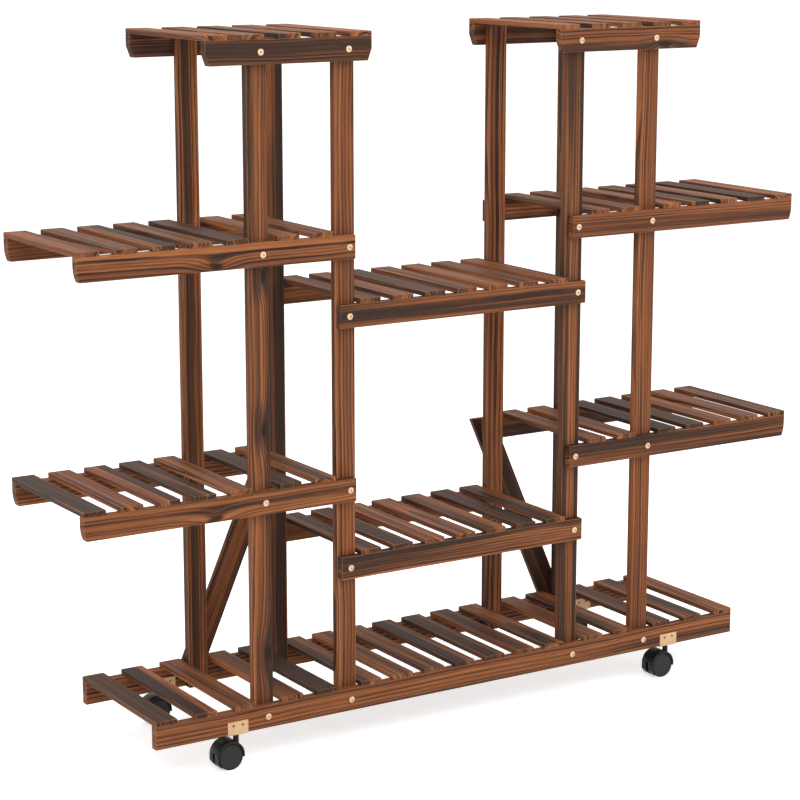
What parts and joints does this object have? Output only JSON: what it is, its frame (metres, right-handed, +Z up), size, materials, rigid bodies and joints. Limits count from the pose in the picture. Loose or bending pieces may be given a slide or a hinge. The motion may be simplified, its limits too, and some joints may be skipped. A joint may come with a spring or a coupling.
{
  "type": "rolling plant stand",
  "caption": "Free-standing slatted wooden plant stand with stepped shelves bolted between upright posts, diagonal back braces and swivel castors, for holding potted plants.",
  "frame": {"origin": "on the floor, under the middle of the stand", "axes": "+X along the shelves, to the right seen from the front; +Y towards the back; +Z up"},
  "size_m": [1.281, 0.2673, 1.0699],
  "materials": {
    "post_timber": "carbonised softwood, brushed grain, matt oil",
    "rail_timber": "carbonised softwood, brushed grain, matt oil",
    "slat_timber": "carbonised softwood, brushed grain, matt oil",
    "brace_timber": "carbonised softwood, brushed grain, matt oil",
    "bolt_plating": "pale gold plating, satin",
    "bracket_plating": "yellow zinc plating, satin",
    "screw_steel": "dark oxide",
    "inner_steel": "bright zinc",
    "hood_plastic": "moulded black nylon, fine texture",
    "wheel_plastic": "moulded black nylon, fine texture"
  },
  "bodies": {
    "frame": {"brace_bolts": "bolt_plating", "brace_left": "brace_timber", "brace_right": "brace_timber", "bracket_screws": "screw_steel", "castor_brackets": "bracket_plating", "frame_bolts": "bolt_plating", "king_pins": "inner_steel", "post_back_inner_left": "post_timber", "post_back_inner_right": "post_timber", "post_back_outer_left": "post_timber", "post_back_outer_right": "post_timber", "post_front_inner_left": "post_timber", "post_front_inner_right": "post_timber", "post_front_outer_left": "post_timber", "post_front_outer_right": "post_timber", "rail_base_back": "rail_timber", "rail_base_front": "rail_timber", "rail_lower_left_back": "rail_timber", "rail_lower_left_front": "rail_timber", "rail_lower_middle_back": "rail_timber", "rail_lower_middle_front": "rail_timber", "rail_lower_right_back": "rail_timber", "rail_lower_right_front": "rail_timber", "rail_top_left_back": "rail_timber", "rail_top_left_front": "rail_timber", "rail_top_right_back": "rail_timber", "rail_top_right_front": "rail_timber", "rail_upper_left_back": "rail_timber", "rail_upper_left_front": "rail_timber", "rail_upper_middle_back": "rail_timber", "rail_upper_middle_front": "rail_timber", "rail_upper_right_back": "rail_timber", "rail_upper_right_front": "rail_timber", "slat_brads": "inner_steel", "slats_base": "slat_timber", "slats_lower_left": "slat_timber", "slats_lower_middle": "slat_timber", "slats_lower_right": "slat_timber", "slats_top_left": "slat_timber", "slats_top_right": "slat_timber", "slats_upper_left": "slat_timber", "slats_upper_middle": "slat_timber", "slats_upper_right": "slat_timber", "threaded_inserts": "inner_steel"},
    "swivel_front_left": {"castor_hood_front_left": "hood_plastic", "castor_axle_front_left": "inner_steel"},
    "roller_front_left_front": {"wheel_front_left_front": "wheel_plastic"},
    "roller_front_left_back": {"wheel_front_left_back": "wheel_plastic"},
    "swivel_front_right": {"castor_hood_front_right": "hood_plastic", "castor_axle_front_right": "inner_steel"},
    "roller_front_right_front": {"wheel_front_right_front": "wheel_plastic"},
    "roller_front_right_back": {"wheel_front_right_back": "wheel_plastic"},
    "swivel_back_left": {"castor_hood_back_left": "hood_plastic", "castor_axle_back_left": "inner_steel"},
    "roller_back_left_front": {"wheel_back_left_front": "wheel_plastic"},
    "roller_back_left_back": {"wheel_back_left_back": "wheel_plastic"},
    "swivel_back_right": {"castor_hood_back_right": "hood_plastic", "castor_axle_back_right": "inner_steel"},
    "roller_back_right_front": {"wheel_back_right_front": "wheel_plastic"},
    "roller_back_right_back": {"wheel_back_right_back": "wheel_plastic"}
  },
  "joints": [
    {"name": "swivel_front_left", "type": "hinge", "parent": "frame", "child": "swivel_front_left", "pos_m": [-0.40249, -0.11825, 0.0497], "axis": [0, 0, 1], "continuous": true},
    {"name": "roll_front_left_front", "type": "hinge", "parent": "swivel_front_left", "child": "roller_front_left_front", "pos_m": [-0.41749, -0.11825, 0.02], "axis": [0, 1, 0], "continuous": true},
    {"name": "roll_front_left_back", "type": "hinge", "parent": "swivel_front_left", "child": "roller_front_left_back", "pos_m": [-0.41749, -0.11825, 0.02], "axis": [0, 1, 0], "continuous": true},
    {"name": "swivel_front_right", "type": "hinge", "parent": "frame", "child": "swivel_front_right", "pos_m": [0.40249, -0.11825, 0.0497], "axis": [0, 0, 1], "continuous": true},
    {"name": "roll_front_right_front", "type": "hinge", "parent": "swivel_front_right", "child": "roller_front_right_front", "pos_m": [0.38749, -0.11825, 0.02], "axis": [0, 1, 0], "continuous": true},
    {"name": "roll_front_right_back", "type": "hinge", "parent": "swivel_front_right", "child": "roller_front_right_back", "pos_m": [0.38749, -0.11825, 0.02], "axis": [0, 1, 0], "continuous": true},
    {"name": "swivel_back_left", "type": "hinge", "parent": "frame", "child": "swivel_back_left", "pos_m": [-0.40249, 0.11825, 0.0497], "axis": [0, 0, 1], "continuous": true},
    {"name": "roll_back_left_front", "type": "hinge", "parent": "swivel_back_left", "child": "roller_back_left_front", "pos_m": [-0.41749, 0.11825, 0.02], "axis": [0, 1, 0], "continuous": true},
    {"name": "roll_back_left_back", "type": "hinge", "parent": "swivel_back_left", "child": "roller_back_left_back", "pos_m": [-0.41749, 0.11825, 0.02], "axis": [0, 1, 0], "continuous": true},
    {"name": "swivel_back_right", "type": "hinge", "parent": "frame", "child": "swivel_back_right", "pos_m": [0.40249, 0.11825, 0.0497], "axis": [0, 0, 1], "continuous": true},
    {"name": "roll_back_right_front", "type": "hinge", "parent": "swivel_back_right", "child": "roller_back_right_front", "pos_m": [0.38749, 0.11825, 0.02], "axis": [0, 1, 0], "continuous": true},
    {"name": "roll_back_right_back", "type": "hinge", "parent": "swivel_back_right", "child": "roller_back_right_back", "pos_m": [0.38749, 0.11825, 0.02], "axis": [0, 1, 0], "continuous": true}
  ]
}
